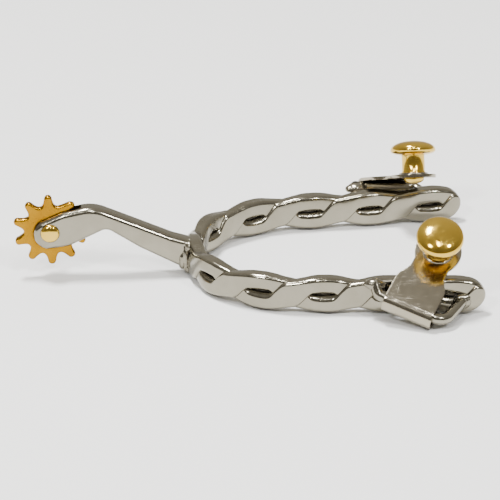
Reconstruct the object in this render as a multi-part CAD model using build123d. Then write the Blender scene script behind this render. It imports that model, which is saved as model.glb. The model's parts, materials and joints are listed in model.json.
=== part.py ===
"""Western spur: twisted heel band, bent shank with a free rowel, two swinging strap hangers.

Millimetres. +X points out of the band's mouth, -X along the shank, +Y is the wearer's left
and +Z is up. The origin is the bottom centre of the whole spur's box: the right hinge barrel
reaches down to z = 0. Side pieces are modelled on the right arm, and the left arm's are mirrored.
"""
import os
from math import cos, pi, radians, sin, sqrt

from build123d import *

# --- Heel band: two strands twisted together, then pressed flat and bent into a U ---
HEEL_X = -17.642               # centreline of the band at the back of the heel
BAND_MID_Z = 7.257             # height of the band's centreline
HEEL_RADIUS = 32.0             # centreline radius at the back of the heel
SIDE_RADIUS = 48.0             # easier radius beside it, up to the straight arms
HEEL_HALF_TURN = 52.0          # degrees of the tight radius on each side
ARM_SPLAY = 4.45               # degrees that each straight arm opens outwards
ARM_LENGTH = 61.0              # straight part of each arm
HALF_TWIST = 22.0              # length of band between two crossings on the arms
HEEL_HALF_TWIST = 18.0         # the same, each side of the shank
STATIONS_PER_HALF_TWIST = 4
STRAND_RISE = 3.4              # a strand's centre above mid height at its highest
STRAND_SHIFT = 1.3             # a strand's centre off mid thickness where two cross
EDGE_HALF_HEIGHT = 3.05        # half section of a strand at its highest and lowest
EDGE_HALF_THICKNESS = 2.5
CROSSING_HALF_HEIGHT = 5.0     # half section where it lies flat across the other
CROSSING_HALF_THICKNESS = 1.4
STRAND_ROUNDING = 0.46         # corner radius over thickness, so the edges are nearly half round
NOSE_LENGTH = 5.5              # each arm's end is rounded off over this length
NOSE_STATIONS = (0.15, 0.9, 2.2, 3.9)

# --- Shank and yoke; outline points are (x from HEEL_X, z from BAND_MID_Z) ---
PIN_X = HEEL_X - 50.9          # rowel pin
PIN_Z = BAND_MID_Z + 11.1
SHANK_TOP = ((-46.5, 18.2), (-35.6, 20.5), (-19.2, 13.3), (-8.0, 8.3), (-1.9, 6.4))
SHANK_UNDERSIDE = ((-1.9, -5.3), (-7.2, -2.5), (-19.4, 4.1), (-31.0, 11.8), (-44.1, 5.5))
SHANK_HUMP_ROUND = 8.0         # where the yoke's top meets the bar, the first point of the top
SHANK_APEX_ROUND = 9.0         # outside of the bend, the second point of the top
SHANK_BEND_ROUND = 4.0         # inside of the bend, the fourth point of the underside
SHANK_WIDTH = 7.2
SHANK_EDGE_RADIUS = 1.7
SHANK_SQUARE_END = 2.0         # edges inside the band are left sharp
YOKE_RADIUS = 5.6              # round nose of the yoke, a little behind and below the pin
YOKE_OFFSET = (-0.4, -1.0)
YOKE_TOP_ANGLE = 125.0         # degrees round the nose from +X to where the bar's top leaves it
YOKE_SLOT_WIDTH = 3.3
YOKE_SLOT_RADIUS = 14.0        # slot floor, concentric with the rowel
HEEL_WELD_SIZE = (5.4, 9.6, 12.4)
HEEL_WELD_ROUND = 2.4
HEEL_WELD_SHIFT = (-3.3, 0.2)  # along X from HEEL_X and up from BAND_MID_Z

# --- Rowel and its pin ---
TEETH = 10
ROWEL_TIP_RADIUS = 13.1
ROWEL_ROOT_RADIUS = 9.3
ROWEL_THICKNESS = 2.5
ROWEL_FIRST_TOOTH = 92.0       # degrees from +X towards +Z
TOOTH_TIP_WIDTH = 2.8
TOOTH_TIP_ROUND = 1.05
TOOTH_ROOT_ROUND = 0.9
ROWEL_EDGE_ROUND = 0.35
PIN_RADIUS = 1.6
RUNNING_CLEARANCE = 0.05
PIN_HEAD_RADIUS = 3.35
PIN_HEAD_HEIGHT = 1.7

# --- Staple: bent wire welded to the outside of each arm; its straight leg is the hinge ---
# Each hinge is (middle, direction of the wire, direction of the button), as on the right arm.
HINGES = {
    "right": (
        Vector(HEEL_X + 72.0, -48.5, BAND_MID_Z - 0.4),
        Vector(16.0, -7.2, -4.8).normalized(),
        Vector(0.0, -4.8, 7.2).normalized(),
    ),
    "left": (
        Vector(HEEL_X + 71.2, -48.62, BAND_MID_Z + 3.2),
        Vector(16.0, -6.4, -3.0).normalized(),
        Vector(0.0, -3.0, 6.4).normalized(),
    ),
}
WIRE_RADIUS = 2.0
LEG_BACK = 12.0                # from the middle of the leg to its rear corner
LEG_FRONT = 12.6               # and to its front corner
REAR_WELD = Vector(HEEL_X + 60.4, -41.6, BAND_MID_Z + 6.5)
FRONT_WELD = Vector(HEEL_X + 90.8, -41.6, BAND_MID_Z - 1.6)
REAR_BEND = 2.3
FRONT_BEND = 4.2
REAR_BEAD = (3.6, 2.7, 2.6)    # half sizes of the weld beads
FRONT_BEAD = (3.9, 2.4, 3.3)

# --- Hanger: sheet rolled round the wire, with a round end that carries the button ---
SHEET = 1.2
LOOP_SLACK = 0.75              # the rolled loop hangs this far below the wire's centre
BARREL_HALF_LENGTH = 9.0
SHOULDER_LENGTH = 8.6
SHOULDER_ROUND = 2.5
NECK_START = 14.0
NECK_ROUND = 3.5
NECK_HALF_WIDTH = 6.4
HANGER_REACH = 23.2            # hinge to the centre of the round end
HANGER_END_RADIUS = 8.1
ROLL_SLIT = 1.2                # left open between the end of the roll and the plate

# --- Button and the rivet that holds it ---
BUTTON_RADIUS = 8.2
BUTTON_RIM_HEIGHT = 1.9
BUTTON_DOME_HEIGHT = 3.6
BUTTON_POST_RADIUS = 4.15
BUTTON_POST_HEIGHT = 6.9
COLLAR_RADIUS = 5.3            # low steel washer under the post
COLLAR_HEIGHT = 0.7
COLLAR_ROUND = 0.35
RIVET_RADIUS = 2.2
RIVET_HEAD_RADIUS = 3.8
RIVET_HEAD_HEIGHT = 2.1
RIVET_DEPTH = 6.0              # how far the rivet goes up into the post


def centreline(distance):
    """Point and heading, in radians, of the band's centreline at a distance from the heel."""
    tight = radians(HEEL_HALF_TURN)
    easy = radians(90 - ARM_SPLAY) - tight
    run = abs(distance)
    if run <= HEEL_RADIUS * tight:
        turn = run / HEEL_RADIUS
    else:
        turn = min(tight + (run - HEEL_RADIUS * tight) / SIDE_RADIUS, tight + easy)
    inner_turn = min(turn, tight)
    x = HEEL_RADIUS * (1 - cos(inner_turn)) + SIDE_RADIUS * (cos(inner_turn) - cos(turn))
    y = HEEL_RADIUS * sin(inner_turn) + SIDE_RADIUS * (sin(turn) - sin(inner_turn))
    straight = max(run - HEEL_RADIUS * tight - SIDE_RADIUS * easy, 0)
    x += straight * sin(turn)
    y += straight * cos(turn)
    side = 1 if distance >= 0 else -1
    return Vector(HEEL_X + x, side * y, BAND_MID_Z), pi / 2 - side * turn


def twist_angle(distance):
    """Twist at a distance from the heel, in radians, faster beside the shank."""
    near = min(abs(distance), HEEL_HALF_TWIST) / HEEL_HALF_TWIST
    far = max(abs(distance) - HEEL_HALF_TWIST, 0) / HALF_TWIST
    return pi * (near + far) * (1 if distance >= 0 else -1)


def band_stations():
    """Distances from the heel of every section, closer together at the rounded ends."""
    tight = radians(HEEL_HALF_TURN)
    easy = radians(90 - ARM_SPLAY) - tight
    half_length = HEEL_RADIUS * tight + SIDE_RADIUS * easy + ARM_LENGTH
    reach = half_length - NOSE_LENGTH
    count = round(2 * reach / HALF_TWIST * STATIONS_PER_HALF_TWIST)
    inner = [-reach + 2 * reach * i / count for i in range(count + 1)]
    left_end = [half_length - offset for offset in reversed(NOSE_STATIONS)]
    return [-distance for distance in reversed(left_end)] + inner + left_end, half_length


def strand(start_angle):
    """One strand, lofted through flattened sections that wind about the centreline."""
    stations, half_length = band_stations()
    sections = []
    for distance in stations:
        angle = start_angle + twist_angle(distance)
        crossing = sin(angle) ** 2
        to_end = min((half_length - abs(distance)) / NOSE_LENGTH, 1)
        taper = sqrt(1 - (1 - to_end) ** 2)
        half_height = EDGE_HALF_HEIGHT + (CROSSING_HALF_HEIGHT - EDGE_HALF_HEIGHT) * crossing
        half_thickness = EDGE_HALF_THICKNESS
        half_thickness += (CROSSING_HALF_THICKNESS - EDGE_HALF_THICKNESS) * crossing
        here, heading = centreline(distance)
        along = Vector(cos(heading), sin(heading), 0)
        outward = Vector(-sin(heading), cos(heading), 0)
        centre = here + outward * (STRAND_SHIFT * sin(angle) * taper)
        centre += Vector(0, 0, STRAND_RISE * cos(angle) * taper)
        plane = Plane(origin=centre, x_dir=outward, z_dir=along)
        width = 2 * half_thickness * taper
        height = 2 * half_height * taper
        sections.append(plane * RectangleRounded(width, height, width * STRAND_ROUNDING))
    return loft(sections)


def shank():
    """Bent bar from the heel to the yoke, with a slot that the rowel turns in."""
    nose = (PIN_X + YOKE_OFFSET[0], PIN_Z + YOKE_OFFSET[1])
    top = [(HEEL_X + x, BAND_MID_Z + z) for x, z in SHANK_TOP]
    underside = [(HEEL_X + x, BAND_MID_Z + z) for x, z in SHANK_UNDERSIDE]
    top_angle = radians(YOKE_TOP_ANGLE)
    start = (nose[0] + YOKE_RADIUS * cos(top_angle), nose[1] + YOKE_RADIUS * sin(top_angle))
    finish = (nose[0], nose[1] - YOKE_RADIUS)
    profile = make_face(Polyline(start, *top, *underside, finish, close=True))
    bends = ((top[0], SHANK_HUMP_ROUND), (top[1], SHANK_APEX_ROUND), (underside[3], SHANK_BEND_ROUND))
    for corner, bend_radius in bends:
        profile = fillet(profile.vertices().sort_by_distance(corner)[0], bend_radius)
    profile += Pos(*nose) * Circle(YOKE_RADIUS)
    bar = extrude(Plane.XZ * profile, SHANK_WIDTH / 2, both=True)

    def is_long(edge):
        at_side = abs(abs(edge.center().Y) - SHANK_WIDTH / 2) < 0.01
        return at_side and edge.center().X < HEEL_X - SHANK_SQUARE_END

    bar = fillet(bar.edges().filter_by(is_long), SHANK_EDGE_RADIUS)
    slot = across(Circle(YOKE_SLOT_RADIUS), YOKE_SLOT_WIDTH)
    return bar - slot - across(Circle(PIN_RADIUS), 2 * SHANK_WIDTH)


def across(sketch, thickness):
    """A sketch centred on the rowel pin, extruded equally to the left and to the right."""
    return Pos(PIN_X, 0, PIN_Z) * extrude(Plane.XZ * sketch, thickness / 2, both=True)


def rowel():
    """Ten-point wheel with blunt round points."""
    tip_half_angle = TOOTH_TIP_WIDTH / 2 / ROWEL_TIP_RADIUS
    pitch = 2 * pi / TEETH
    points = []
    for tooth in range(TEETH):
        middle = radians(ROWEL_FIRST_TOOTH) + tooth * pitch
        corners = (
            (ROWEL_TIP_RADIUS, middle - tip_half_angle),
            (ROWEL_TIP_RADIUS, middle + tip_half_angle),
            (ROWEL_ROOT_RADIUS, middle + pitch / 2),
        )
        points += [(radius * cos(angle), radius * sin(angle)) for radius, angle in corners]
    star = make_face(Polyline(*points, close=True))

    def radius_of(vertex):
        return sqrt(vertex.X ** 2 + vertex.Y ** 2)

    middle_radius = (ROWEL_TIP_RADIUS + ROWEL_ROOT_RADIUS) / 2
    star = fillet([v for v in star.vertices() if radius_of(v) > middle_radius], TOOTH_TIP_ROUND)
    roots = [v for v in star.vertices() if radius_of(v) < ROWEL_ROOT_RADIUS + 0.1]
    star = fillet(roots, TOOTH_ROOT_ROUND)
    wheel = across(star, ROWEL_THICKNESS)
    rim = [edge for edge in wheel.edges() if abs(abs(edge.center().Y) - ROWEL_THICKNESS / 2) < 0.01]
    wheel = fillet(rim, ROWEL_EDGE_ROUND)
    return wheel - across(Circle(PIN_RADIUS + RUNNING_CLEARANCE), 2 * ROWEL_THICKNESS)


def half_dome(radius, height, upwards=True):
    """Quarter ellipse from the axis out to +X, above or below y = 0."""
    if upwards:
        arc = EllipticalCenterArc((0, 0), radius, height, 90, arc_size=-90)
    else:
        arc = EllipticalCenterArc((0, 0), radius, height, 270, arc_size=90)
    tip = (0, height if upwards else -height)
    return make_face([arc.edge(), Line(tip, (0, 0)).edge(), Line((0, 0), (radius, 0)).edge()])


def rowel_pin():
    """Headed pin through both cheeks of the yoke, with a dome peened on each end."""
    half = SHANK_WIDTH / 2
    profile = Rectangle(PIN_RADIUS, SHANK_WIDTH, align=(Align.MIN, Align.CENTER))
    profile += Pos(0, half) * half_dome(PIN_HEAD_RADIUS, PIN_HEAD_HEIGHT)
    profile += Pos(0, -half) * half_dome(PIN_HEAD_RADIUS, PIN_HEAD_HEIGHT, upwards=False)
    return Pos(PIN_X, 0, PIN_Z) * revolve(profile, Axis.Y)


def staple(hinge):
    """Bent wire: rear weld, straight hinge leg, front weld."""
    middle, along, _ = hinge
    rear_corner = middle - along * LEG_BACK
    front_corner = middle + along * LEG_FRONT
    route = FilletPolyline(REAR_WELD, rear_corner, front_corner, FRONT_WELD, radius=[REAR_BEND, FRONT_BEND])
    start = Plane(origin=route @ 0, z_dir=route % 0)
    return sweep(start * Circle(WIRE_RADIUS), path=route)


def staple_welds():
    """Weld beads where a staple's two ends meet the band."""
    beads = ((REAR_WELD, REAR_BEAD), (FRONT_WELD, FRONT_BEAD))
    return [Pos(place) * scale(Sphere(1), by=size) for place, size in beads]


def heel_weld():
    """Weld metal round the joint of shank and band."""
    pad = Box(*HEEL_WELD_SIZE)
    pad = fillet(pad.edges(), HEEL_WELD_ROUND)
    return Pos(HEEL_X + HEEL_WELD_SHIFT[0], 0, BAND_MID_Z + HEEL_WELD_SHIFT[1]) * pad


def on_hanger(local, hinge):
    """Place a shape drawn at a hinge: x along the wire, y to the button, z outwards."""
    middle, along, outwards = hinge
    return Plane(origin=middle, x_dir=along, z_dir=outwards) * local


def hanger():
    """Sheet plate rolled loosely round the hinge leg, drawn at the hinge."""
    under_plate = WIRE_RADIUS + RUNNING_CLEARANCE
    bore = under_plate + LOOP_SLACK
    outer = bore + SHEET
    outline = make_face(Polyline(
        (-BARREL_HALF_LENGTH, 0),
        (-BARREL_HALF_LENGTH, SHOULDER_LENGTH),
        (-NECK_HALF_WIDTH, NECK_START),
        (-NECK_HALF_WIDTH, HANGER_REACH),
        (NECK_HALF_WIDTH, HANGER_REACH),
        (NECK_HALF_WIDTH, NECK_START),
        (BARREL_HALF_LENGTH, SHOULDER_LENGTH),
        (BARREL_HALF_LENGTH, 0),
        close=True,
    ))
    for corner_y, corner_radius in ((SHOULDER_LENGTH, SHOULDER_ROUND), (NECK_START, NECK_ROUND)):
        corners = [vertex for vertex in outline.vertices() if abs(vertex.Y - corner_y) < 0.01]
        outline = fillet(corners, corner_radius)
    outline += Pos(0, HANGER_REACH) * Circle(HANGER_END_RADIUS)
    plate = Pos(0, 0, under_plate) * extrude(outline, SHEET)
    ring = Pos(0, -LOOP_SLACK) * (Circle(outer) - Circle(bore))
    roll = extrude(Plane.YZ * ring, BARREL_HALF_LENGTH, both=True)
    slit = Box(2 * BARREL_HALF_LENGTH, outer, ROLL_SLIT, align=(Align.CENTER, Align.MIN, Align.MAX))
    rivet_hole = Pos(0, HANGER_REACH, under_plate) * Cylinder(RIVET_RADIUS, 2 * RIVET_DEPTH)
    return roll - Pos(0, 0, under_plate) * slit + plate - rivet_hole


def button():
    """Turned button on its post, drawn at the hinge."""
    foot = WIRE_RADIUS + RUNNING_CLEARANCE + SHEET + COLLAR_HEIGHT
    rim_middle = BUTTON_POST_HEIGHT + BUTTON_RIM_HEIGHT - COLLAR_HEIGHT
    post = Rectangle(BUTTON_POST_RADIUS, rim_middle, align=(Align.MIN, Align.MIN))
    dome = Pos(0, rim_middle) * half_dome(BUTTON_RADIUS, BUTTON_DOME_HEIGHT)
    under = Pos(0, rim_middle) * half_dome(BUTTON_RADIUS, BUTTON_RIM_HEIGHT, upwards=False)
    profile = post + dome + under
    turned = revolve(Plane.XZ * profile, Axis.Z)
    turned -= Cylinder(RIVET_RADIUS, 2 * RIVET_DEPTH)
    return Pos(0, HANGER_REACH, foot) * turned


def button_washer():
    """Low washer between the post and the plate, drawn at the hinge."""
    base = WIRE_RADIUS + RUNNING_CLEARANCE + SHEET
    washer = Cylinder(COLLAR_RADIUS, COLLAR_HEIGHT, align=(Align.CENTER, Align.CENTER, Align.MIN))
    washer = fillet(washer.edges().group_by(Axis.Z)[-1], COLLAR_ROUND)
    washer -= Cylinder(RIVET_RADIUS, 4 * COLLAR_HEIGHT)
    return Pos(0, HANGER_REACH, base) * washer


def button_rivet():
    """Domed rivet up through the plate and the washer into the post, drawn at the hinge."""
    under_plate = WIRE_RADIUS + RUNNING_CLEARANCE
    reach = SHEET + COLLAR_HEIGHT + RIVET_DEPTH
    body = Rectangle(RIVET_RADIUS, reach, align=(Align.MIN, Align.MIN))
    head = half_dome(RIVET_HEAD_RADIUS, RIVET_HEAD_HEIGHT, upwards=False)
    turned = revolve(Plane.XZ * (body + head), Axis.Z)
    return Pos(0, HANGER_REACH, under_plate) * turned


def write(name, solids):
    """Write one node: a solid, or a group of separate solids."""
    shapes = solids if isinstance(solids, list) else [solids]
    parts = [piece for shape in shapes for piece in shape.solids()]
    export_step(Compound(children=parts) if len(parts) > 1 else parts[0], f"parts/{name}.step")


def on_side(shapes, side):
    """Leave right-hand shapes where they are, or mirror them to the left arm."""
    shapes = shapes if isinstance(shapes, list) else [shapes]
    return shapes if side == "right" else [mirror(shape, about=Plane.XZ) for shape in shapes]


def main():
    os.makedirs("parts", exist_ok=True)
    write("band_strand_a", strand(0))
    write("band_strand_b", strand(pi))
    write("shank", shank())
    write("heel_weld", heel_weld())
    write("rowel", rowel())
    write("rowel_pin", rowel_pin())
    for side, hinge in HINGES.items():
        write(f"{side}_staple", on_side(staple(hinge), side))
        write(f"{side}_staple_welds", on_side(staple_welds(), side))
        write(f"{side}_hanger", on_side(on_hanger(hanger(), hinge), side))
        write(f"{side}_button", on_side(on_hanger(button(), hinge), side))
        write(f"{side}_button_washer", on_side(on_hanger(button_washer(), hinge), side))
        write(f"{side}_button_rivet", on_side(on_hanger(button_rivet(), hinge), side))


main()
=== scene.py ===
import json
from math import acos, asin, cos, degrees, pi, radians, sin, sqrt, tan

import bmesh
import bpy
from mathutils import Matrix, Vector, noise


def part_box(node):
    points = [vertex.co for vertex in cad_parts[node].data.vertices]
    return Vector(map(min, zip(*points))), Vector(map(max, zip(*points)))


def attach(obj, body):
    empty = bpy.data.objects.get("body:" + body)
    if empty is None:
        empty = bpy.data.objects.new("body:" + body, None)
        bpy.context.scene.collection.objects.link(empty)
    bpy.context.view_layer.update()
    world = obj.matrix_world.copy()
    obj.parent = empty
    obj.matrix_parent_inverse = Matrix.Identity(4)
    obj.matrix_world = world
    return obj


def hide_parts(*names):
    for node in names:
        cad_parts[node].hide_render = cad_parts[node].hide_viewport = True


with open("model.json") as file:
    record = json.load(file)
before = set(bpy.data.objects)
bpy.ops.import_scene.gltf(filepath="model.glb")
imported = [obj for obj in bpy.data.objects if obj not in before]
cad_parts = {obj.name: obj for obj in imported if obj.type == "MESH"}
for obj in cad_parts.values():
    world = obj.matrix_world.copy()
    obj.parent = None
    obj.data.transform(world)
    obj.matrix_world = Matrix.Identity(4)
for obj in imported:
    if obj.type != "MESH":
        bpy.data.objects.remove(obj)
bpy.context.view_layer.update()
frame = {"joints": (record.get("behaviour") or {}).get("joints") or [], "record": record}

# Shapes are worked out in millimetres in the part's frame, and scaled when a mesh is made.
MM = 0.001


def named(entries, name):
    """The entry that has a name, from a list of entries."""
    return next(entry for entry in entries if entry["name"] == name)


def node_box(name):
    """Lowest and highest corner of a CAD node, in millimetres."""
    low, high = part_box(name)
    return low / MM, high / MM


# --- Places, from the frame ---
HEEL_GAP = 1.9                 # the shank ends this far short of the band's centreline
HEEL_X = node_box("shank")[1].x + HEEL_GAP
BAND_MID_Z = sum(corner.z for corner in node_box("band_strand_a")) / 2
PIN = Vector(named(frame["joints"], "rowel_spin")["pos_m"]) / MM


def hinge(side):
    """Middle of a hinge, direction of its wire and of its button, as if on the right arm."""
    joint = named(frame["joints"], f"{side}_hanger_swing")
    mount = named(frame["record"]["mounts"], f"{side}_button")
    middle = Vector(joint["pos_m"]) / MM
    along = Vector(joint["axis"]).normalized()
    outwards = Vector(mount["axis"]).normalized()
    if side == "left":
        middle.y = -middle.y
        outwards.y = -outwards.y
        along = Vector((-along.x, along.y, -along.z))
    return middle, along, outwards


# --- Heel band: a tight bend at the heel, an easier one on each side, then straight arms ---
HEEL_RADIUS = 32.0             # radii of the band's centreline
SIDE_RADIUS = 48.0
HEEL_HALF_TURN = 52.0          # degrees of the tight bend on each side of the heel
ARM_SPLAY = 4.45               # degrees that an arm opens outwards
ARM_LENGTH = 61.0
HALF_TWIST = 22.0              # length in which the strands wind half a turn
HEEL_HALF_TWIST = 18.0         # and the same length next to the heel
STRAND_SHIFT = 0.55            # a strand's centre off mid thickness where two cross
EDGE_HALF_THICKNESS = 2.5      # where a strand runs along the top or the bottom
CROSSING_HALF_THICKNESS = 2.15  # where it lies across the other
STRAND_TOP = 6.45              # the band's half height, which falls by STRAND_SAG at the crease
STRAND_SAG = 1.85
SAG_SPAN = (10, 115)           # twist, in degrees, over which the top edge sinks
CREASE_SPAN = (100, 152)       # twist over which the crease climbs the band
EYE_HALF_GAP = 0.32            # how far a strand stays from mid height in the middle of an eye
EYE_CORNER = 0.1               # share of that gap in an eye's corners
EYE_SPAN = (146, 180)          # twist over which an eye opens
OUTER_ROUND = 1.25             # corner radius of a strand, and the larger one inside the eyes
EYE_ROUND = 2.1
ROUND_SPAN = (128, 156)        # twist over which one radius turns into the other
CROWN = 0.34                   # how far the flats bulge
NOSE_LENGTH = 5.5              # rounded length at a strand's ends
NOSE_TIP = 0.02                # the last ring stops this far before the end
NOSE_RINGS = 14
STATION_STEP = 0.55
CORNER_STEPS = 8
SIDE_STEPS = 6
STRAND_WAVES = ((0.12, 0.16), (0.02, 0.6))     # (depth, waves per millimetre) of uneven faces

# --- Shank and yoke; outline points are (x from HEEL_X, z from BAND_MID_Z) ---
SHANK_TOP = ((-46.5, 18.2), (-35.6, 20.5), (-19.2, 13.3), (-8.0, 8.3), (-HEEL_GAP, 6.4))
SHANK_UNDERSIDE = ((-HEEL_GAP, -5.3), (-7.2, -2.5), (-19.4, 4.1), (-31.0, 11.8), (-44.1, 5.5))
# Corner radii of those points, in their order.
SHANK_ROUNDS = (10.0, 14.0, 30.0, 12.0, 0, 0, 12.0, 30.0, 3.5, 10.0)
SHANK_WIDTH = 7.2
SHANK_EDGE_RADIUS = 2.1
YOKE_RADIUS = 5.6
YOKE_OFFSET = Vector((-0.4, -1.0))   # from the pin to the middle of the yoke's round nose
YOKE_TOP_ANGLE = 125.0         # degrees at which the nose runs into the shank's top
YOKE_STEPS = 24
YOKE_SLOT_WIDTH = 3.3
YOKE_SLOT_RADIUS = 14.0
YOKE_SLOT_EDGE_RADIUS = 0.25
YOKE_SLOT_STEPS = 120

# --- Rowel and its pin ---
TEETH = 10
TIP_RADIUS = 13.1
ROOT_RADIUS = 9.3
ROWEL_THICKNESS = 2.5
ROWEL_EDGE_RADIUS = 0.85
TOOTH_ROUND = 1.4              # radius of a tooth's tip
TOOTH_TAPER = 10.0             # degrees between a tooth's side and its middle line, at the tip
ROOT_PULL = 0.9                # lengths of the handles of a tooth's side, at its root and its tip
TIP_PULL = 1.7
SIDE_POINTS = 12
TIP_POINTS = 8
FIRST_TOOTH = 92.0             # degrees from +X to tooth 0, which stands nearly upright
LEANING_TEETH = {1: -6.0, 3: -4.0}   # degrees that these teeth, counted clockwise, lean
TOOTH_VARIATION = 0.006        # share of its length by which a tooth is longer or shorter
TOOTH_SEED_STEP = 3.7
PIN_HEAD_RADIUS = 3.35
PIN_HEAD_HEIGHT = 1.7
HEAD_POWER = 2.2               # 2 is an ellipse, and more is fuller at the rim

# --- Staple and hanger ---
WIRE_RADIUS = 2.0
LEG_BACK = 12.0                # from a hinge's middle to the staple's rear and front corner
LEG_FRONT = 12.6
REAR_WELD = Vector((HEEL_X + 60.4, -41.6, BAND_MID_Z + 6.5))
FRONT_WELD = Vector((HEEL_X + 90.8, -41.6, BAND_MID_Z - 1.6))
REAR_BEND = 2.3
FRONT_BEND = 4.2
UNDER_PLATE = 2.05             # from the wire's centre to the plate
LOOP_SLACK = 0.75              # the rolled loop hangs this far below the wire's centre
ROLL_END_HEIGHT = 0.85         # the roll ends this far above the wire's centre
SHEET = 1.2
SHEET_EDGE = 0.28
SHEET_COLUMNS = 24
ROLL_ROWS = 48
FLAT_ROWS = 40
END_ROWS = 21
END_LENGTH = 6.0               # the rows stand closer over the plate's last stretch
BARREL_HALF_LENGTH = 9.0
NECK_HALF_WIDTH = 6.3
NECK_SPAN = (7.6, 14.8)        # distance from the hinge over which the plate narrows
HANGER_REACH = 23.2            # from the hinge to the middle of the round end
HANGER_END_RADIUS = 8.1
DISC_LEAD = 1.5                # the round end alone sets the width from this far before its middle
NECK_BLEND = 0.3               # softness of the corner where the neck meets the round end

# --- Button, washer and rivet ---
BUTTON_RADIUS = 8.2
BUTTON_RIM_HEIGHT = 1.9
BUTTON_DOME_HEIGHT = 3.6
BUTTON_TOP_POWER = 2.15
BUTTON_UNDER_POWER = 2.3
POST_RADIUS = 4.15
POST_HEIGHT = 6.9
POST_FLARE = ((0.25, 0), (0.25, 0.2), (0, 0.7))         # (beyond the post, height from its foot)
POST_NECK = ((0, -0.35), (0.12, -0.1))                  # the same from the underside of the head
POST_NECK_WIDTH = 0.4          # the head's underside starts this far beyond the post
COLLAR_RADIUS = 5.3
COLLAR_HEIGHT = 0.7
COLLAR_STRAIGHT = 0.45         # share of the height below the rounded edge
COLLAR_EDGE = 0.35             # how far the rounded edge goes in
COLLAR_STEPS = 6
RIVET_HEAD_RADIUS = 3.8
RIVET_HEAD_HEIGHT = 2.1
RIVET_SINK = ((0, 0.3), (RIVET_HEAD_RADIUS - 0.1, 0.1))  # (radius, how far it is in the plate)


# ---------------------------------------------------------------- curves

def ease(value, low, high):
    """0 below low, 1 above high and smooth between."""
    t = min(max((value - low) / (high - low), 0), 1)
    return t * t * (3 - 2 * t)


def ray(angle):
    """The 2-D direction at an angle."""
    return Vector((cos(angle), sin(angle)))


def bezier(start, leave, arrive, end, t):
    """Point on a cubic curve between two points, with a handle at each."""
    s = 1 - t
    return start * s ** 3 + leave * (3 * t * s ** 2) + arrive * (3 * t * t * s) + end * t ** 3


def round_corners(points, radii, spacing):
    """A closed 2-D outline with its corners rounded, as evenly close points on arcs."""
    outline = []
    count = len(points)
    for i, radius in enumerate(radii):
        before, corner, after = (Vector(points[(i + k) % count]) for k in (-1, 0, 1))
        if radius == 0:
            outline.append(corner)
            continue
        back, ahead = (before - corner).normalized(), (after - corner).normalized()
        half = back.angle(ahead) / 2
        reach = radius / tan(half)
        centre = corner + (back + ahead).normalized() * (radius / sin(half))
        start, end = corner + back * reach - centre, corner + ahead * reach - centre
        sweep = start.angle_signed(end)
        steps = max(int(abs(sweep) * radius / spacing), 4)
        outline += [centre + Matrix.Rotation(-sweep * k / steps, 2) @ start for k in range(steps + 1)]
    return outline


def spread(outline, spacing):
    """The same closed outline with no gap between points longer than the spacing."""
    out = []
    for a, b in zip(outline, outline[1:] + outline[:1]):
        pieces = max(int((b - a).length / spacing), 1)
        out += [a.lerp(b, k / pieces) for k in range(pieces)]
    return out


def inset(outline, distance):
    """A closed 2-D outline moved inwards; the outline runs anticlockwise."""
    moved = []
    count = len(outline)
    for i in range(count):
        along = (outline[(i + 1) % count] - outline[i - 1]).normalized()
        moved.append(outline[i] + Vector((-along.y, along.x)) * distance)
    return moved


def dome(radius, height, base, power, steps=16):
    """Profile points of a dome from its rim up to its top, or down if height is negative."""
    points = []
    for k in range(steps + 1):
        out, up = max(cos(pi / 2 * k / steps), 0), sin(pi / 2 * k / steps)
        points.append((radius * out ** (2 / power), base + height * up ** (2 / power)))
    return points


def bent_route(corners, radii, spacing):
    """Points along an open route of straight runs with arcs at its corners."""
    points = [corners[0]]
    for i, radius in enumerate(radii, start=1):
        corner = corners[i]
        back, ahead = (corners[i - 1] - corner).normalized(), (corners[i + 1] - corner).normalized()
        half = back.angle(ahead) / 2
        reach = radius / tan(half)
        centre = corner + (back + ahead).normalized() * (radius / sin(half))
        start = corner + back * reach - centre
        turn = pi - 2 * half
        normal = start.cross(corner + ahead * reach - centre).normalized()
        steps = max(int(turn * radius / spacing), 8)
        points += [centre + Matrix.Rotation(turn * k / steps, 3, normal) @ start for k in range(steps + 1)]
    points.append(corners[-1])
    return points


# ---------------------------------------------------------------- meshes

def link(name, data):
    """An object in the scene for a mesh, a light or a camera."""
    thing = bpy.data.objects.new(name, data)
    bpy.context.scene.collection.objects.link(thing)
    return thing


def mesh_object(name, vertices, faces):
    """A mesh object from millimetre vertices, with outward normals."""
    mesh = bpy.data.meshes.new(name)
    mesh.from_pydata([Vector(v) * MM for v in vertices], [], faces)
    work = bmesh.new()
    work.from_mesh(mesh)
    bmesh.ops.remove_doubles(work, verts=work.verts, dist=1e-6)
    bmesh.ops.recalc_face_normals(work, faces=work.faces)
    work.to_mesh(mesh)
    work.free()
    return link(name, mesh)


def skin(rings):
    """Vertices and faces over closed rings of equal length, with flat ends."""
    count = len(rings[0])
    vertices = [point for ring in rings for point in ring]
    faces = []
    for row in range(len(rings) - 1):
        for k in range(count):
            a, b = row * count + k, row * count + (k + 1) % count
            faces.append((a, b, b + count, a + count))
    last = (len(rings) - 1) * count
    faces.append(tuple(range(count)))
    faces.append(tuple(range(last, last + count)))
    return vertices, faces


def lathe(name, profile, centre, axis, steps=72):
    """A solid turned about an axis; the profile is (radius, height) from one end to the other."""
    across = axis.orthogonal().normalized()
    other = axis.cross(across)
    tiny = 0.001               # stands in for a radius of 0, so that each ring has an area
    rings = []
    for radius, height in profile:
        ring = []
        for k in range(steps):
            angle = 2 * pi * k / steps
            outward = across * cos(angle) + other * sin(angle)
            ring.append(centre + axis * height + outward * max(radius, tiny))
        rings.append(ring)
    return mesh_object(name, *skin(rings))


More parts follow.
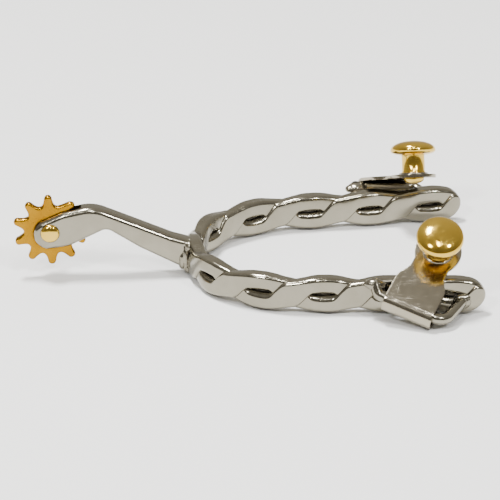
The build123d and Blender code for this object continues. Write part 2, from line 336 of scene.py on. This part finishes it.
def tube(name, points, radius, steps=36):
    """A round tube along points."""
    rings = []
    turns = [2 * pi * k / steps for k in range(steps)]
    across = (points[1] - points[0]).orthogonal().normalized()
    for i, point in enumerate(points):
        along = (points[min(i + 1, len(points) - 1)] - points[max(i - 1, 0)]).normalized()
        across = (across - along * across.dot(along)).normalized()
        other = along.cross(across)
        rings.append([point + (across * cos(turn) + other * sin(turn)) * radius for turn in turns])
    return mesh_object(name, *skin(rings))


def settle(thing):
    """Turns an object's modifiers into its own mesh."""
    graph = bpy.context.evaluated_depsgraph_get()
    mesh = bpy.data.meshes.new_from_object(thing.evaluated_get(graph))
    old = thing.data
    thing.modifiers.clear()
    thing.data = mesh
    bpy.data.meshes.remove(old)
    mesh.name = thing.name
    return thing


def roughen(thing, depth, pitch):
    """Moves a surface in and out by a depth, with a pitch in waves per millimetre."""
    for vertex in thing.data.vertices:
        place = vertex.co / MM
        vertex.co += vertex.normal * (depth * noise.noise(place * pitch) * MM)
    return thing


def reflect(thing):
    """Moves a mesh to the other side of the XZ plane."""
    thing.data.transform(Matrix.Scale(-1, 4, Vector((0, 1, 0))))
    thing.data.flip_normals()


def smooth(thing, angle):
    """Smooth shading, with edges sharper than an angle left sharp."""
    work = bmesh.new()
    work.from_mesh(thing.data)
    for face in work.faces:
        face.smooth = True
    for edge in work.edges:
        edge.smooth = not (len(edge.link_faces) == 2 and edge.calc_face_angle(0) > radians(angle))
    work.to_mesh(thing.data)
    work.free()


def finish_piece(thing, body, slot, material, *replaced, angle=35):
    """Shades a piece, gives it its material, ties it to its body and hides the CAD nodes it replaces."""
    smooth(thing, angle)
    thing.data.materials.clear()
    thing.data.materials.append(material)
    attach(thing, body)
    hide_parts(*replaced)


# ---------------------------------------------------------------- materials

class Shader:
    """A node material under construction."""

    def __init__(self, name):
        self.material = bpy.data.materials.new(name)
        self.material.use_nodes = True
        self.tree = self.material.node_tree
        self.surface = self.tree.nodes["Principled BSDF"]
        millimetres = self.add("ShaderNodeVectorMath", operation="SCALE")
        self.put(self.add("ShaderNodeTexCoord").outputs["Object"], millimetres.inputs[0])
        self.put(1 / MM, millimetres.inputs["Scale"])
        self.place = millimetres.outputs[0]

    def add(self, kind, **settings):
        made = self.tree.nodes.new(kind)
        for name, value in settings.items():
            setattr(made, name, value)
        return made

    def put(self, value, socket):
        """Links another node's output to a socket, or sets the socket to a value."""
        if hasattr(value, "links"):
            self.tree.links.new(value, socket)
        else:
            socket.default_value = value

    def maths(self, operation, a, b=0.0, clamp=False):
        made = self.add("ShaderNodeMath", operation=operation, use_clamp=clamp)
        self.put(a, made.inputs[0])
        self.put(b, made.inputs[1])
        return made.outputs[0]

    def noise(self, scale, detail, stretch=(1, 1, 1), turn=(0, 0, 0), offset=(0, 0, 0)):
        """Noise with a scale in cycles per millimetre, stretched after a turn in degrees."""
        mapping = self.add("ShaderNodeMapping")
        self.put(self.place, mapping.inputs["Vector"])
        self.put(offset, mapping.inputs["Location"])
        self.put(tuple(radians(angle) for angle in turn), mapping.inputs["Rotation"])
        self.put(stretch, mapping.inputs["Scale"])
        made = self.add("ShaderNodeTexNoise")
        self.put(mapping.outputs[0], made.inputs["Vector"])
        self.put(scale, made.inputs["Scale"])
        self.put(detail, made.inputs["Detail"])
        return made.outputs["Fac"]

    def ramp(self, value, low, high, start=0.0, end=1.0):
        """Linear change from start to end while value goes from low to high."""
        made = self.add("ShaderNodeMapRange")
        self.put(value, made.inputs["Value"])
        self.put(low, made.inputs["From Min"])
        self.put(high, made.inputs["From Max"])
        self.put(start, made.inputs["To Min"])
        self.put(end, made.inputs["To Max"])
        return made.outputs[0]

    def mix(self, amount, a, b):
        """Colour a where the amount is 0, and b where it is 1."""
        made = self.add("ShaderNodeMix", data_type="RGBA")
        # A mix node has sockets for every kind of value: 6 and 7 in and 2 out are the colours.
        self.put(amount, made.inputs[0])
        self.put(a, made.inputs[6])
        self.put(b, made.inputs[7])
        return made.outputs[2]

    def crevice(self, distance):
        """1 in the open, towards 0 deep between surfaces closer than a distance in millimetres."""
        made = self.add("ShaderNodeAmbientOcclusion", samples=8, only_local=False)
        self.put(distance * MM, made.inputs["Distance"])
        return made.outputs["AO"]

    def bump(self, height):
        """Bump by a height in millimetres."""
        made = self.add("ShaderNodeBump")
        self.put(1.0, made.inputs["Strength"])
        self.put(MM, made.inputs["Distance"])
        self.put(height, made.inputs["Height"])
        self.put(made.outputs[0], self.surface.inputs["Normal"])


SHADE_AND_GRIME_REACH = 2.2              # painted crease shade and grime gather between surfaces closer than this
# how strongly the painted crease shade and grime darken the colour
SHADE_AND_GRIME_COVER = 0.9
GRIME_ROUGHNESS = 0.25         # roughness that grime and scratches add
SCRATCH_ROUGHNESS = 0.16
SCRATCH_LEVEL = 0.62           # scratches are thin lines at this level of a stretched noise
SCRATCH_WIDTH = 0.012
SCRATCH_DEPTH = 0.0035
GRAIN_DEPTH = 0.004


def crease_shade_and_grime_mask(shader):
    """1 deep in the creases, in blotches, and 0 in the open: painted crease shade, with grime."""
    # painted shade: ambient occlusion finds the creases, and the colour is darkened there
    crease = shader.ramp(shader.crevice(SHADE_AND_GRIME_REACH), 0.38, 0.86, 1.0, 0.0)
    blotch = shader.ramp(shader.noise(0.9, 5.0, offset=(7, 3, 1)), 0.35, 0.65, 0.45, 1.0)
    return shader.maths("MULTIPLY", crease, blotch)


def scratch_mask(shader):
    """1 on fine scratches in three directions, which come in patches."""
    scratch = None
    for line in (
        shader.noise(1.0, 2.0, stretch=(0.10, 5.0, 5.0), turn=(0, 20, 12)),
        shader.noise(1.0, 2.0, stretch=(0.12, 4.0, 6.0), turn=(15, -35, -20), offset=(40, 0, 0)),
        shader.noise(1.0, 2.0, stretch=(6.0, 4.0, 0.10), turn=(10, 25, 0), offset=(0, 30, 0)),
    ):
        away = shader.maths("ABSOLUTE", shader.maths("SUBTRACT", line, SCRATCH_LEVEL))
        thin = shader.ramp(away, 0.0, SCRATCH_WIDTH, 1.0, 0.0)
        scratch = thin if scratch is None else shader.maths("MAXIMUM", scratch, thin)
    patch = shader.ramp(shader.noise(0.25, 2.0, offset=(0, 0, 11)), 0.42, 0.62)
    return shader.maths("MULTIPLY", scratch, patch)


def polished_metal(name, colour, tint, shade_and_grime_colour, roughness, waves, pits=0.0):
    """Polished metal: cloudy tint, soft waves, fine scratches, and painted shade with grime in the
    creases.

    roughness is its lowest and highest value, and waves and pits are depths in millimetres.
    """
    shader = Shader(name)
    shade_and_dirt = crease_shade_and_grime_mask(shader)
    scratch = scratch_mask(shader)

    tone = shader.mix(shader.ramp(shader.noise(0.12, 4.0), 0.35, 0.68), colour, tint)
    # painted shade: the creases darken towards the crease shade and grime colour
    tone = shader.mix(shader.maths("MULTIPLY", shade_and_dirt, SHADE_AND_GRIME_COVER), tone, shade_and_grime_colour)
    shader.put(tone, shader.surface.inputs["Base Color"])
    shader.put(1.0, shader.surface.inputs["Metallic"])

    rough = shader.ramp(shader.noise(0.5, 6.0, offset=(3, 8, 2)), 0.3, 0.7, *roughness)
    rough = shader.maths("ADD", rough, shader.maths("MULTIPLY", scratch, SCRATCH_ROUGHNESS))
    rough = shader.maths("ADD", rough, shader.maths("MULTIPLY", shade_and_dirt, GRIME_ROUGHNESS), clamp=True)
    shader.put(rough, shader.surface.inputs["Roughness"])

    height = shader.maths("MULTIPLY", shader.noise(0.22, 2.0, offset=(5, 5, 5)), waves)
    height = shader.maths("ADD", height, shader.maths("MULTIPLY", shader.noise(2.5, 4.0), GRAIN_DEPTH))
    height = shader.maths("SUBTRACT", height, shader.maths("MULTIPLY", scratch, SCRATCH_DEPTH))
    if pits:
        spots = shader.ramp(shader.noise(1.6, 3.0, offset=(2, 9, 4)), 0.60, 0.72)
        height = shader.maths("SUBTRACT", height, shader.maths("MULTIPLY", spots, pits))
    shader.bump(height)
    return shader.material


def floor_paint():
    """Pale matt paint, a little cloudy."""
    shader = Shader("pale_floor")
    tone = shader.mix(shader.noise(0.01, 2.0), (0.86, 0.86, 0.85, 1), (0.90, 0.90, 0.89, 1))
    shader.put(tone, shader.surface.inputs["Base Color"])
    shader.put(0.75, shader.surface.inputs["Roughness"])
    shader.put(0.2, shader.surface.inputs["Specular IOR Level"])
    return shader.material


# the dark grime colours below are painted crease shade as well as grime
STEEL = polished_metal(
    "polished_steel", (0.285, 0.265, 0.208, 1), (0.25, 0.23, 0.176, 1), shade_and_grime_colour=(0.045, 0.036, 0.026, 1),
    roughness=(0.11, 0.21), waves=0.05)
SHEET_STEEL = polished_metal(
    "sheet_steel", (0.36, 0.325, 0.25, 1), (0.34, 0.305, 0.23, 1), shade_and_grime_colour=(0.06, 0.042, 0.025, 1),
    roughness=(0.13, 0.16), waves=0.012)
WELD_STEEL = polished_metal(
    "weld_steel", (0.28, 0.26, 0.205, 1), (0.23, 0.21, 0.162, 1), shade_and_grime_colour=(0.06, 0.045, 0.032, 1),
    roughness=(0.14, 0.26), waves=0.10, pits=0.04)
BRASS = polished_metal(
    "brass", (0.74, 0.50, 0.085, 1), (0.67, 0.43, 0.06, 1), shade_and_grime_colour=(0.13, 0.06, 0.009, 1),
    roughness=(0.07, 0.17), waves=0.03)
CAST_BRASS = polished_metal(
    "cast_brass", (0.36, 0.180, 0.007, 1), (0.28, 0.130, 0.005, 1), shade_and_grime_colour=(0.07, 0.026, 0.003, 1),
    roughness=(0.16, 0.30), waves=0.08, pits=0.03)


# ---------------------------------------------------------------- heel band

TIGHT_TURN = radians(HEEL_HALF_TURN)
EASY_TURN = radians(90 - ARM_SPLAY) - TIGHT_TURN
TIGHT_LENGTH = HEEL_RADIUS * TIGHT_TURN
EASY_LENGTH = SIDE_RADIUS * EASY_TURN
BAND_HALF_LENGTH = TIGHT_LENGTH + EASY_LENGTH + ARM_LENGTH


def centreline(distance):
    """Point and heading of the band's centreline at a distance from the heel."""
    run = abs(distance)
    if run <= TIGHT_LENGTH:
        turn = run / HEEL_RADIUS
    else:
        turn = min(TIGHT_TURN + (run - TIGHT_LENGTH) / SIDE_RADIUS, TIGHT_TURN + EASY_TURN)
    inner_turn = min(turn, TIGHT_TURN)
    x = HEEL_RADIUS * (1 - cos(inner_turn)) + SIDE_RADIUS * (cos(inner_turn) - cos(turn))
    y = HEEL_RADIUS * sin(inner_turn) + SIDE_RADIUS * (sin(turn) - sin(inner_turn))
    straight = max(run - TIGHT_LENGTH - EASY_LENGTH, 0)
    x += straight * sin(turn)
    y += straight * cos(turn)
    side = 1 if distance >= 0 else -1
    return Vector((HEEL_X + x, side * y, BAND_MID_Z)), pi / 2 - side * turn


def twist_angle(distance):
    """How far the strands have wound about each other at a distance from the heel."""
    near = min(abs(distance), HEEL_HALF_TWIST) / HEEL_HALF_TWIST
    far = max(abs(distance) - HEEL_HALF_TWIST, 0) / HALF_TWIST
    return pi * (near + far) * (1 if distance >= 0 else -1)


def upper_edge(twist):
    """Height of a strand's upper edge above mid height, for 0 to 180 degrees of twist."""
    fallen = ease(twist, *CREASE_SPAN)
    eye = EYE_HALF_GAP * (EYE_CORNER + (1 - EYE_CORNER) * ease(twist, *EYE_SPAN))
    return (STRAND_TOP - STRAND_SAG * ease(twist, *SAG_SPAN)) * (1 - fallen) - eye * fallen


def rounded_section(half_thickness, half_height, top_radius, bottom_radius):
    """A rounded rectangle with crowned flats, as evenly indexed points."""
    corners = []
    for quadrant in range(4):
        radius = top_radius if quadrant in (0, 1) else bottom_radius
        across = (half_thickness - radius) * (1 if quadrant in (0, 3) else -1)
        up = (half_height - radius) * (1 if quadrant in (0, 1) else -1)
        for k in range(CORNER_STEPS + 1):
            angle = pi / 2 * (quadrant + k / CORNER_STEPS)
            corners.append(Vector((across + radius * cos(angle), up + radius * sin(angle))))
    points = []
    for i, point in enumerate(corners):
        points.append(point)
        if i % (CORNER_STEPS + 1) == CORNER_STEPS:
            following = corners[(i + 1) % len(corners)]
            points += [point.lerp(following, k / SIDE_STEPS) for k in range(1, SIDE_STEPS)]
    for point in points:
        point.x *= 1 + CROWN / half_thickness * (1 - (point.y / half_height) ** 2)
    return points


def strand_stations():
    """Distances from the heel at which a strand has a ring, closer together at its ends."""
    middle = BAND_HALF_LENGTH - NOSE_LENGTH
    count = int(2 * middle / STATION_STEP)
    stations = [-middle + 2 * middle * k / count for k in range(count + 1)]
    nose = [middle + NOSE_LENGTH * sin(pi / 2 * k / NOSE_RINGS) for k in range(1, NOSE_RINGS)]
    nose.append(BAND_HALF_LENGTH - NOSE_TIP)
    return [-value for value in reversed(nose)] + stations + nose


def strand(name, start_angle):
    """A pressed bar winding about the band's centreline, with softly crowned faces."""
    rings = []
    for distance in strand_stations():
        angle = start_angle + twist_angle(distance)
        twist = degrees(acos(min(max(cos(angle), -1), 1)))
        to_end = min((BAND_HALF_LENGTH - abs(distance)) / NOSE_LENGTH, 1)
        taper = sqrt(1 - (1 - to_end) ** 2)
        top, bottom = upper_edge(twist), -upper_edge(180 - twist)
        half_thickness = EDGE_HALF_THICKNESS
        half_thickness += (CROSSING_HALF_THICKNESS - EDGE_HALF_THICKNESS) * sin(angle) ** 2
        inside = [ease(t, *ROUND_SPAN) for t in (twist, 180 - twist)]
        rounds = [OUTER_ROUND + (EYE_ROUND - OUTER_ROUND) * share for share in inside]
        here, heading = centreline(distance)
        outward = Vector((-sin(heading), cos(heading), 0))
        centre = here + outward * (STRAND_SHIFT * sin(angle) * taper)
        centre.z += (top + bottom) / 2 * taper
        ring = []
        for flat in rounded_section(half_thickness, (top - bottom) / 2, *rounds):
            point = centre + outward * (flat.x * taper)
            point.z += flat.y * taper
            uneven = sum(depth * noise.noise(point * pitch) for depth, pitch in STRAND_WAVES)
            point += (point - centre).normalized() * uneven
            ring.append(point)
        rings.append(ring)
    return mesh_object(name, *skin(rings))


for letter, angle in (("a", 0), ("b", pi)):
    bar = strand(f"twisted_strand_{letter}", angle)
    finish_piece(bar, "spur", "polished_steel", STEEL, f"band_strand_{letter}", angle=60)


# ---------------------------------------------------------------- shank, yoke and rowel

def slab(name, outline, thickness, edge_radius, steps=7):
    """A plate across the pin with rounded edges; the outline is in (x, z) from the pin."""
    rings = []
    angles = [pi / 2 * k / steps for k in range(steps + 1)]
    for side in (-1, 1):
        for angle in angles if side < 0 else reversed(angles):
            height = side * (thickness / 2 - edge_radius + edge_radius * cos(angle))
            ring = inset(outline, edge_radius * (1 - sin(angle)))
            rings.append([PIN + Vector((point.x, height, point.y)) for point in ring])
    return mesh_object(name, *skin(rings))


def shank():
    """The bent bar with soft edges and the rowel's slot cut into its nose."""
    pin = Vector((PIN.x, PIN.z))
    nose = pin + YOKE_OFFSET
    top_angle = radians(YOKE_TOP_ANGLE)
    bends = [Vector((HEEL_X + x, BAND_MID_Z + z)) for x, z in SHANK_TOP + SHANK_UNDERSIDE]
    corners = [nose + ray(-pi / 2) * YOKE_RADIUS, nose + ray(top_angle) * YOKE_RADIUS, *bends]
    lower, *rest = round_corners(corners, (0, 0, *SHANK_ROUNDS), spacing=0.35)
    sweep = 3 * pi / 2 - top_angle
    turns = [-pi / 2 - sweep * k / YOKE_STEPS for k in range(1, YOKE_STEPS)]
    outline = spread([lower, *(nose + ray(turn) * YOKE_RADIUS for turn in turns), *rest], spacing=0.8)
    outline = [point - pin for point in reversed(outline)]
    bar = slab("shank_bar", outline, SHANK_WIDTH, SHANK_EDGE_RADIUS)
    turns = [2 * pi * k / YOKE_SLOT_STEPS for k in range(YOKE_SLOT_STEPS)]
    disc = [ray(turn) * YOKE_SLOT_RADIUS for turn in turns]
    cutter = slab("yoke_slot", disc, YOKE_SLOT_WIDTH, YOKE_SLOT_EDGE_RADIUS, steps=3)
    cut = bar.modifiers.new("slot", "BOOLEAN")
    cut.object = cutter
    cut.solver = "EXACT"
    settle(bar)
    bpy.data.objects.remove(cutter)
    return bar


def tooth_flank():
    """Half of one tooth, from the root to its tip, as (out along the tooth, across it)."""
    half_pitch = pi / TEETH
    taper = radians(TOOTH_TAPER)
    tip_centre = Vector((TIP_RADIUS - TOOTH_ROUND, 0))
    root = ray(half_pitch) * ROOT_RADIUS
    shoulder = tip_centre + ray(pi / 2 - taper) * TOOTH_ROUND
    leave = root + ray(half_pitch - pi / 2) * ROOT_PULL
    arrive = shoulder + ray(pi - taper) * TIP_PULL
    points = [bezier(root, leave, arrive, shoulder, k / SIDE_POINTS) for k in range(SIDE_POINTS)]
    for k in range(TIP_POINTS):
        points.append(tip_centre + ray((pi / 2 - taper) * (1 - k / TIP_POINTS)) * TOOTH_ROUND)
    return points


def rowel():
    """Ten blunt points with well rounded edges, each a little different, as cast."""
    flank = tooth_flank()
    tip = Vector((TIP_RADIUS, 0))
    tooth = flank + [tip] + [Vector((p.x, -p.y)) for p in reversed(flank[1:])]
    outline = []
    for number in range(TEETH):
        middle = radians(FIRST_TOOTH) - 2 * pi * number / TEETH
        longer = TOOTH_VARIATION * noise.noise(Vector((number * TOOTH_SEED_STEP, 0, 0)))
        for p in tooth:
            out = ease(p.length, ROOT_RADIUS, TIP_RADIUS)
            lean = radians(LEANING_TEETH.get(number, 0)) * out
            outline.append(Matrix.Rotation(middle + lean, 2) @ (p * (1 + longer * out)))
    outline.reverse()
    wheel = slab("rowel_wheel", outline, ROWEL_THICKNESS, ROWEL_EDGE_RADIUS)
    return roughen(wheel, depth=0.05, pitch=0.5)


def rowel_pin():
    """The pin with a domed head on each side of the yoke."""
    head = dome(PIN_HEAD_RADIUS, PIN_HEAD_HEIGHT, SHANK_WIDTH / 2, HEAD_POWER)
    tail = [(radius, -height) for radius, height in reversed(head)]
    return lathe("rowel_pin_domed", tail + head, PIN, Vector((0, -1, 0)))


finish_piece(shank(), "spur", "polished_steel", STEEL, "shank", angle=40)
finish_piece(rowel(), "rowel", "brass", CAST_BRASS, "rowel", angle=50)
finish_piece(rowel_pin(), "spur", "brass", BRASS, "rowel_pin")


# ---------------------------------------------------------------- welds

# Lumps of weld metal: (place from the weld's point, half size along x, y and z).
HEEL_LUMPS = (
    ((-3.2, 0, 0.2), (2.7, 4.5, 6.0)),
    ((-2.0, 0, 4.3), (2.6, 4.7, 2.3)),
    ((-1.8, 0, -3.9), (2.7, 4.8, 2.6)),
    ((-4.6, -1.2, -0.8), (1.6, 3.2, 4.2)),
)
REAR_LUMPS = (
    ((0, 0, -0.7), (3.3, 2.4, 2.0)),
    ((2.0, 0.1, -1.4), (2.0, 2.0, 1.4)),
    ((-2.0, 0.4, -0.7), (1.9, 1.7, 1.3)),
)
FRONT_LUMPS = (
    ((0, 0, 0), (3.3, 2.1, 2.9)),
    ((1.6, 0.3, 1.0), (2.0, 1.7, 1.9)),
    ((-1.4, -0.3, -0.8), (2.1, 1.8, 2.1)),
    ((0.8, 0.4, -1.5), (1.9, 1.5, 1.6)),
)
WELD_VOXEL = 0.22
WELD_PITCH = 0.55              # lumps per millimetre of the uneven surface


def melt(name, welds, rounds, unevenness, seed):
    """Weld metal: the lumps at each point run together, softened and left a little uneven."""
    work = bmesh.new()
    for point, lumps in welds:
        for offset, sizes in lumps:
            centre = Vector([a + b for a, b in zip(point, offset)])
            made = bmesh.ops.create_icosphere(work, subdivisions=4, radius=1.0)
            for vertex in made["verts"]:
                vertex.co = (centre + Vector([a * b for a, b in zip(vertex.co, sizes)])) * MM
    mesh = bpy.data.meshes.new(name)
    work.to_mesh(mesh)
    work.free()
    thing = link(name, mesh)
    remesh = thing.modifiers.new("run_together", "REMESH")
    remesh.mode = "VOXEL"
    remesh.voxel_size = WELD_VOXEL * MM
    soften = thing.modifiers.new("soften", "SMOOTH")
    soften.iterations = rounds
    settle(thing)
    for vertex in thing.data.vertices:
        place = vertex.co / MM
        lump = noise.fractal(place * WELD_PITCH + Vector((seed, 0, 0)), 1.0, 2.0, 3)
        vertex.co += vertex.normal * (lump * unevenness * MM)
    return thing


def heel_joint():
    """Weld metal that flares from the shank's end onto both sides of the band."""
    welds = [((HEEL_X, 0, BAND_MID_Z), HEEL_LUMPS)]
    return melt("heel_joint_weld", welds, rounds=10, unevenness=0.07, seed=3.0)


finish_piece(heel_joint(), "spur", "weld_metal", WELD_STEEL, "heel_weld", angle=80)


# ---------------------------------------------------------------- staple, hanger and button

# Each of these draws a side's piece as if on the right arm; the left ones are reflected below.

def on_hanger(place, x, y, z):
    """A point drawn on a hinge: x along the wire, y to the button, z out of the plate."""
    middle, along, outwards = place
    return middle + along * x + outwards.cross(along).normalized() * y + outwards * z


def staple(side):
    """The wire that leaves the arm, runs straight through the hanger's roll and comes back."""
    middle, along, _ = hinge(side)
    corners = [REAR_WELD, middle - along * LEG_BACK, middle + along * LEG_FRONT, FRONT_WELD]
    route = bent_route(corners, [REAR_BEND, FRONT_BEND], spacing=0.5)
    return tube(f"{side}_staple_wire", route, WIRE_RADIUS)


def staple_beads(side):
    """The beads that tie the staple's ends to the arm, as runs of small lumps."""
    welds = [(REAR_WELD, REAR_LUMPS), (FRONT_WELD, FRONT_LUMPS)]
    return melt(f"{side}_staple_beads", welds, rounds=7, unevenness=0.1, seed=8.0)


def plate_half_width(y):
    """Half width of the hanger at a distance from its hinge."""
    if y <= 0:
        return BARREL_HALF_LENGTH
    neck = BARREL_HALF_LENGTH + (NECK_HALF_WIDTH - BARREL_HALF_LENGTH) * ease(y, *NECK_SPAN)
    disc = sqrt(max(HANGER_END_RADIUS ** 2 - (y - HANGER_REACH) ** 2, 0))
    if y > HANGER_REACH - DISC_LEAD:
        return disc
    return (neck + disc + sqrt((neck - disc) ** 2 + NECK_BLEND)) / 2


def hanger_rows():
    """Rows across the sheet's mid surface, as (y, z, half width), from the roll to the end."""
    roll = UNDER_PLATE + LOOP_SLACK + SHEET / 2
    middle = UNDER_PLATE + SHEET / 2
    flat_end = HANGER_REACH + HANGER_END_RADIUS
    end_angle = asin((ROLL_END_HEIGHT + LOOP_SLACK) / roll)
    rows = []
    for k in range(ROLL_ROWS + 1):
        angle = end_angle - (end_angle + 1.5 * pi) * k / ROLL_ROWS
        rows.append((roll * cos(angle), roll * sin(angle) - LOOP_SLACK, BARREL_HALF_LENGTH))
    distances = [(flat_end - END_LENGTH) * k / FLAT_ROWS for k in range(1, FLAT_ROWS)]
    distances += [flat_end - END_LENGTH * (1 - sin(pi / 2 * k / END_ROWS)) for k in range(END_ROWS)]
    return rows + [(y, middle, plate_half_width(y)) for y in distances]


def hanger(side):
    """One sheet: rolled loosely round the wire, then flat out to the round end."""
    place = hinge(side)
    rows = hanger_rows()
    vertices, faces = [], []
    for y, z, half_width in rows:
        for k in range(SHEET_COLUMNS + 1):
            vertices.append(on_hanger(place, half_width * (2 * k / SHEET_COLUMNS - 1), y, z))
    vertices.append(on_hanger(place, 0, HANGER_REACH + HANGER_END_RADIUS, rows[-1][1]))
    width = SHEET_COLUMNS + 1
    for row in range(len(rows) - 1):
        for a in range(row * width, row * width + SHEET_COLUMNS):
            faces.append((a, a + 1, a + 1 + width, a + width))
    last = (len(rows) - 1) * width
    faces += [(a, a + 1, len(vertices) - 1) for a in range(last, last + SHEET_COLUMNS)]
    plate = mesh_object(f"{side}_hanger_sheet", vertices, faces)
    solid = plate.modifiers.new("sheet", "SOLIDIFY")
    solid.thickness = SHEET * MM
    solid.offset = 0
    solid.use_even_offset = True
    edge = plate.modifiers.new("edge", "BEVEL")
    edge.width = SHEET_EDGE * MM
    edge.segments = 3
    edge.limit_method = "ANGLE"
    edge.angle_limit = radians(50)
    return settle(plate)


def turned(side, name, profile, steps=72):
    """A solid turned about a side's button axis, with heights from the wire's centre."""
    place = hinge(side)
    return lathe(f"{side}_{name}", profile, on_hanger(place, 0, HANGER_REACH, 0), place[2], steps)


def button(side):
    """Post with a small flare at its foot, and a domed head with a rolled rim."""
    foot = UNDER_PLATE + SHEET + COLLAR_HEIGHT
    rim = UNDER_PLATE + SHEET + POST_HEIGHT + BUTTON_RIM_HEIGHT
    under = dome(BUTTON_RADIUS, -BUTTON_RIM_HEIGHT, rim, BUTTON_UNDER_POWER, steps=15)
    under = [point for point in reversed(under) if point[0] > POST_RADIUS + POST_NECK_WIDTH]
    profile = [(0, foot)]
    profile += [(POST_RADIUS + out, foot + up) for out, up in POST_FLARE]
    profile += [(POST_RADIUS + out, under[0][1] + up) for out, up in POST_NECK]
    profile += under
    profile += dome(BUTTON_RADIUS, BUTTON_DOME_HEIGHT, rim, BUTTON_TOP_POWER, steps=26)[1:]
    return turned(side, "button_turned", profile, steps=96)


def washer(side):
    """A flat ring with a softly rounded, slightly uneven edge."""
    base = UNDER_PLATE + SHEET
    top = base + COLLAR_HEIGHT
    straight = base + COLLAR_HEIGHT * COLLAR_STRAIGHT
    profile = [(0, base), (COLLAR_RADIUS, base), (COLLAR_RADIUS, straight)]
    for k in range(1, COLLAR_STEPS + 1):
        angle = pi / 2 * k / COLLAR_STEPS
        radius = COLLAR_RADIUS - COLLAR_EDGE * (1 - cos(angle))
        profile.append((radius, straight + (top - straight) * sin(angle)))
    profile.append((0, top))
    return roughen(turned(side, "washer_ring", profile), depth=0.06, pitch=1.1)


def rivet(side):
    """The domed head under the plate."""
    profile = [(radius, UNDER_PLATE + up) for radius, up in RIVET_SINK]
    profile += dome(RIVET_HEAD_RADIUS, -RIVET_HEAD_HEIGHT, UNDER_PLATE, HEAD_POWER)
    return turned(side, "rivet_domed", profile)


# How a piece is made, its body, slot and material, the node it replaces and its smoothing angle.
# A side's name goes in place of {}.
SIDE_PIECES = (
    (staple, "spur", "polished_steel", STEEL, "{}_staple", 50),
    (staple_beads, "spur", "weld_metal", WELD_STEEL, "{}_staple_welds", 80),
    (hanger, "{}_strap_hanger", "sheet_steel", SHEET_STEEL, "{}_hanger", 28),
    (button, "{}_strap_hanger", "brass", BRASS, "{}_button", 40),
    (washer, "{}_strap_hanger", "sheet_steel", SHEET_STEEL, "{}_button_washer", 50),
    (rivet, "{}_strap_hanger", "brass", BRASS, "{}_button_rivet", 50),
)
for make, body, slot, material, node, angle in SIDE_PIECES:
    for side in ("right", "left"):
        piece = make(side)
        if side == "left":
            reflect(piece)
        finish_piece(piece, body.format(side), slot, material, node.format(side), angle=angle)


# ---------------------------------------------------------------- floor, light and camera

FLOOR_REACH = 4000
floor_corners = [(x * FLOOR_REACH, y * FLOOR_REACH, 0) for x, y in ((-1, -1), (1, -1), (1, 1), (-1, 1))]
floor = mesh_object("floor", floor_corners, [(0, 1, 2, 3)])
floor.data.materials.append(floor_paint())


def softbox(name, place, size, power):
    """A rectangular studio light aimed at the origin, in metres and watts."""
    lamp = bpy.data.lights.new(name, "AREA")
    lamp.shape = "RECTANGLE"
    lamp.size, lamp.size_y = size
    lamp.energy = power
    thing = link(name, lamp)
    thing.location = place
    thing.rotation_mode = "QUATERNION"
    thing.rotation_quaternion = (-Vector(place)).to_track_quat("-Z", "Y")


# Small boxes, so that the polished domes show small highlights.
softbox("overhead", (-0.25, 0.10, 1.25), (0.30, 0.16), 30)
softbox("left_front", (-0.55, -0.85, 0.95), (0.14, 0.14), 9)
softbox("right_front", (0.60, -0.80, 0.90), (0.10, 0.16), 8)
softbox("strip", (0.05, -0.70, 1.10), (0.05, 0.30), 5)


def room():
    """Soft surroundings: grey all round, darker towards the viewer and brighter overhead."""
    world = bpy.data.worlds.new("studio")
    bpy.context.scene.world = world
    world.use_nodes = True
    tree = world.node_tree
    background = tree.nodes["Background"].inputs
    place = tree.nodes.new("ShaderNodeTexCoord")
    parts = tree.nodes.new("ShaderNodeSeparateXYZ")
    tree.links.new(place.outputs["Generated"], parts.inputs[0])

    def step(direction, low, high, start, end):
        """Light that goes from start to end while a direction's part goes from low to high."""
        made = tree.nodes.new("ShaderNodeMapRange")
        for name, value in (("From Min", low), ("From Max", high), ("To Min", start), ("To Max", end)):
            made.inputs[name].default_value = value
        tree.links.new(parts.outputs[direction], made.inputs["Value"])
        return made.outputs[0]

    total = tree.nodes.new("ShaderNodeMath")
    tree.links.new(step("Y", -0.7, 0.8, 0.22, 0.66), total.inputs[0])
    tree.links.new(step("Z", 0.45, 0.95, 0.0, 0.12), total.inputs[1])
    background["Color"].default_value = (1.0, 0.95, 0.86, 1)
    tree.links.new(total.outputs[0], background["Strength"])


room()

CAMERA_ELEVATION = radians(24.37)
CAMERA_TURN = radians(-2.69)
CAMERA_ROLL = radians(0.48)
CAMERA_DISTANCE = 1164.3
CAMERA_AIM = Vector((HEEL_X + 20.51, 0, BAND_MID_Z + 0.96))
FOCAL_LENGTH = 236.3
SENSOR_WIDTH = 36
SIDE_SHIFT = -0.0052


def add_camera():
    """The camera, aimed from the front and above with a slight turn and roll."""
    level = Vector((sin(CAMERA_TURN), -cos(CAMERA_TURN), 0)) * cos(CAMERA_ELEVATION)
    back = level + Vector((0, 0, sin(CAMERA_ELEVATION)))
    right_hand = Vector((cos(CAMERA_TURN), sin(CAMERA_TURN), 0))
    right_hand = Matrix.Rotation(-CAMERA_ROLL, 3, back) @ right_hand
    turn = Matrix((right_hand, back.cross(right_hand), back)).transposed()
    lens = bpy.data.cameras.new("camera")
    lens.lens = FOCAL_LENGTH
    lens.sensor_width = SENSOR_WIDTH
    lens.shift_x = SIDE_SHIFT
    lens.clip_start = 0.05
    lens.clip_end = 50
    camera = link("camera", lens)
    place = (CAMERA_AIM + back * CAMERA_DISTANCE) * MM
    camera.matrix_world = Matrix.LocRotScale(place, turn.to_quaternion(), None)
    bpy.context.scene.camera = camera


add_camera()
